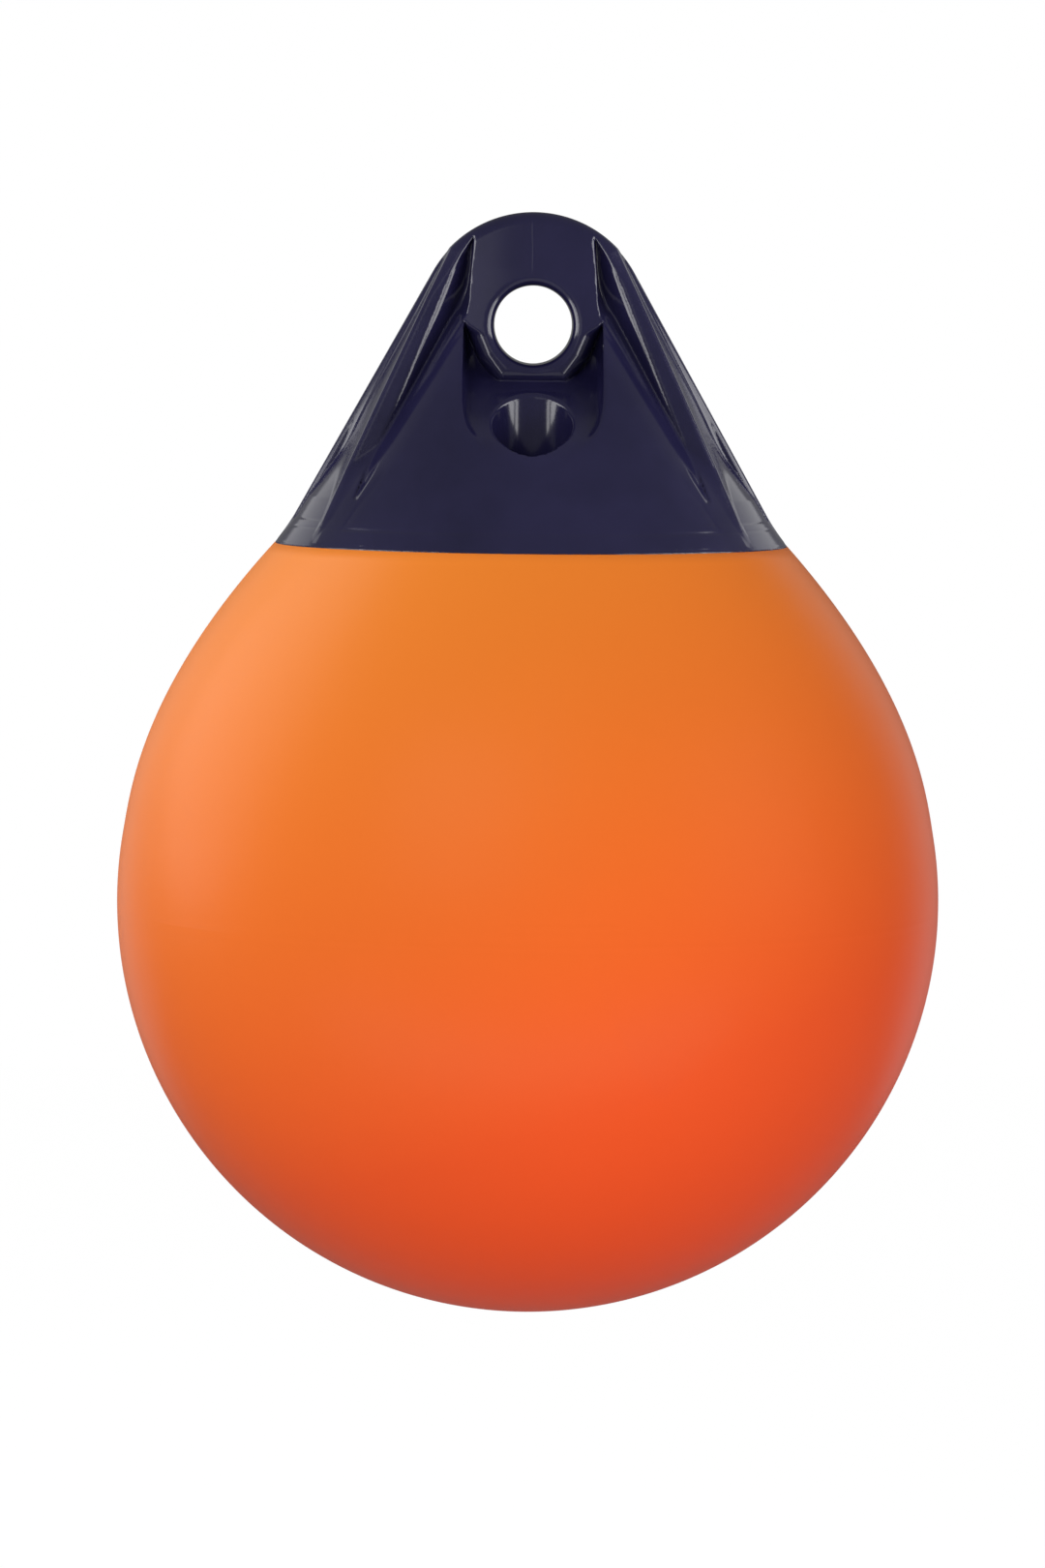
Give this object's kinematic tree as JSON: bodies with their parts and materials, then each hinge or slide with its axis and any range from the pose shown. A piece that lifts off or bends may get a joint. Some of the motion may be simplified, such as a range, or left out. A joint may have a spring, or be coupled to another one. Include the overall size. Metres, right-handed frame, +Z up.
{
  "type": "buoy",
  "caption": "Inflatable round buoy: an air-filled vinyl ball under a ribbed moulded rope hold with a rope eye and an air valve well.",
  "frame": {"origin": "centre of the rope eye", "axes": "+Z up out of the ball through the eye's arch; the eye runs along Y and the valve side faces -Y"},
  "size_m": [0.2099, 0.21, 0.2803],
  "materials": {
    "ball": "glossy orange vinyl",
    "rope_hold": "glossy navy vinyl",
    "valve_body": "turned brass",
    "valve_washer": "plain rubber",
    "valve_screw": "moulded black nylon"
  },
  "bodies": {
    "root": {"ball": "ball", "rope_hold": "rope_hold", "valve_body": "valve_body", "valve_washer": "valve_washer", "valve_screw": "valve_screw"}
  },
  "joints": []
}
